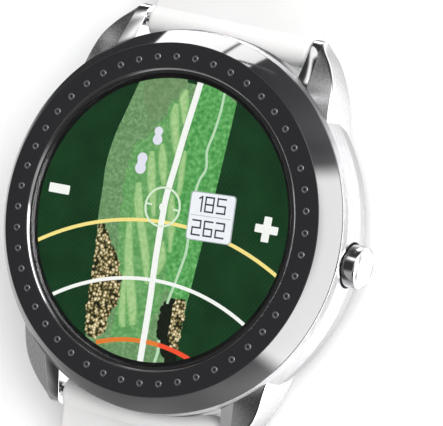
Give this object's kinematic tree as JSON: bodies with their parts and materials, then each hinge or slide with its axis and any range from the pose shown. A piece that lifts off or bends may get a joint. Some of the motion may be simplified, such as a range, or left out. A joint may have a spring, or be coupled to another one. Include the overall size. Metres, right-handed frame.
{
  "type": "golf gps watch",
  "caption": "Round golf GPS watch with a pipped black bezel, colour hole-map display, steel lugs and a side button, on a two-piece white strap with a pin buckle.",
  "frame": {"origin": "centre of the case back, on the face that rests on a table", "axes": "+X to 3 o'clock, +Y to 12 o'clock along the open strap, +Z out of the display"},
  "size_m": [0.0471, 0.2404, 0.0129],
  "materials": {
    "steel_case": "polished and brushed stainless steel",
    "black_ceramic": "glossy black ceramic",
    "polished_steel": "polished stainless steel",
    "crystal_glass": "clear cover glass with a black printed border",
    "display_face": "lit colour display with a hole map",
    "seal_rubber": "matte black",
    "frame_plastic": "matte",
    "flex_film": "amber polyimide film",
    "board_green": "green solder mask",
    "can_metal": "satin",
    "antenna_ceramic": "fired ceramic",
    "battery_foil": "satin foil pouch",
    "foam": "closed-cell foam",
    "back_polymer": "fine-textured black polymer",
    "contact_gold": "gold plated",
    "strap_silicone": "soft-touch white silicone"
  },
  "bodies": {
    "case": {"mid_case": "steel_case", "bezel": "black_ceramic", "bezel_pips": "polished_steel", "trim_ring": "polished_steel", "crystal": "crystal_glass", "crystal_gasket": "seal_rubber", "display_panel": "display_face", "display_frame": "frame_plastic", "display_flex": "flex_film", "main_board": "board_green", "shield_cans": "can_metal", "gps_antenna": "antenna_ceramic", "battery": "battery_foil", "battery_pad": "foam", "vibration_motor": "can_metal", "button_switch": "frame_plastic", "button_spring": "polished_steel", "case_back": "back_polymer", "case_back_gasket": "seal_rubber", "case_back_screws": "polished_steel", "charge_contacts": "contact_gold"},
    "button": {"button": "polished_steel", "button_seal": "seal_rubber", "button_clip": "can_metal"},
    "strap_12": {"strap_12": "strap_silicone", "spring_bar_12": "polished_steel", "release_spring_12": "polished_steel", "keeper_fixed": "strap_silicone", "buckle_bar": "polished_steel"},
    "strap_6": {"strap_6": "strap_silicone", "spring_bar_6": "polished_steel", "release_spring_6": "polished_steel"},
    "release_pin_12": {"release_pin_12": "polished_steel"},
    "release_pin_6": {"release_pin_6": "polished_steel"},
    "keeper_free": {"keeper_free": "strap_silicone"},
    "buckle": {"buckle_frame": "steel_case"},
    "tongue": {"buckle_tongue": "polished_steel"}
  },
  "joints": [
    {"name": "strap_12_hinge", "type": "hinge", "parent": "case", "child": "strap_12", "pos_m": [0, 0.0227, 0.0049], "axis": [1, 0, 0], "range_deg": [-80, 30]},
    {"name": "strap_6_hinge", "type": "hinge", "parent": "case", "child": "strap_6", "pos_m": [0, -0.0227, 0.0049], "axis": [-1, 0, 0], "range_deg": [-80, 30]},
    {"name": "button_press", "type": "slide", "parent": "case", "child": "button", "axis": [-1, 0, 0], "range_m": [0, 0.00045], "stiffness_N_per_m": 3000, "deforming": ["button_spring"]},
    {"name": "release_12_slide", "type": "slide", "parent": "strap_12", "child": "release_pin_12", "axis": [-1, 0, 0], "range_m": [0, 0.0013], "stiffness_N_per_m": 400, "deforming": ["release_spring_12"]},
    {"name": "release_6_slide", "type": "slide", "parent": "strap_6", "child": "release_pin_6", "axis": [-1, 0, 0], "range_m": [0, 0.0013], "stiffness_N_per_m": 400, "deforming": ["release_spring_6"]},
    {"name": "keeper_slide", "type": "slide", "parent": "strap_12", "child": "keeper_free", "axis": [0, 1, 0], "range_m": [-0.014, 0.0035]},
    {"name": "buckle_hinge", "type": "hinge", "parent": "strap_12", "child": "buckle", "pos_m": [0, 0.0887, 0.0027], "axis": [1, 0, 0], "range_deg": [-60, 30]},
    {"name": "tongue_hinge", "type": "hinge", "parent": "buckle", "child": "tongue", "pos_m": [0, 0.0887, 0.0027], "axis": [1, 0, 0], "range_deg": [0, 80]}
  ]
}
